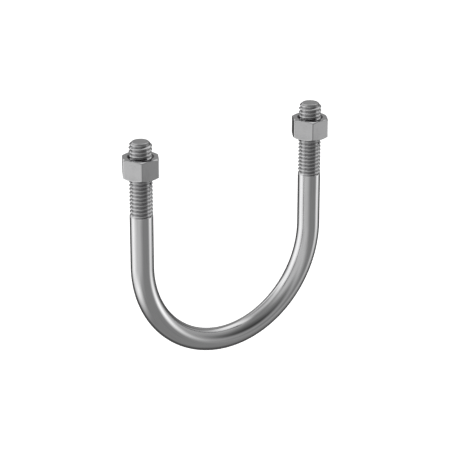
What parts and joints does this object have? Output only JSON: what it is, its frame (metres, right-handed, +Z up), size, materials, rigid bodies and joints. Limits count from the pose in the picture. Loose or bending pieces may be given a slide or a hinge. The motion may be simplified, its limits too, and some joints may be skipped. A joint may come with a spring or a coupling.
{
  "type": "u-bolt with nuts",
  "caption": "Round-bend U-bolt with parallel right-hand threaded legs and a hex nut on each leg, to clamp a pipe, rail or tube to a plate.",
  "frame": {"origin": "on the axis of the clamped pipe, midway between the legs, where the half-round bend meets the straight legs", "axes": "+Z up the legs to their threaded ends, +X across the legs, +Y along the clamped pipe"},
  "size_m": [0.1014, 0.0142, 0.1008],
  "materials": {
    "bolt_steel": "bright drawn and polished stainless steel, threads a little duller",
    "nut_steel": "machined stainless steel, smooth satin faces"
  },
  "bodies": {
    "bolt": {"u_bolt": "bolt_steel"},
    "nut_left": {"nut_left": "nut_steel"},
    "nut_right": {"nut_right": "nut_steel"}
  },
  "joints": [
    {"name": "nut_left_travel", "type": "slide", "parent": "bolt", "child": "nut_left", "axis": [0, 0, 1], "range_m": [-0.01429, 0.01588]},
    {"name": "nut_right_travel", "type": "slide", "parent": "bolt", "child": "nut_right", "axis": [0, 0, 1], "range_m": [-0.01429, 0.01588]}
  ]
}
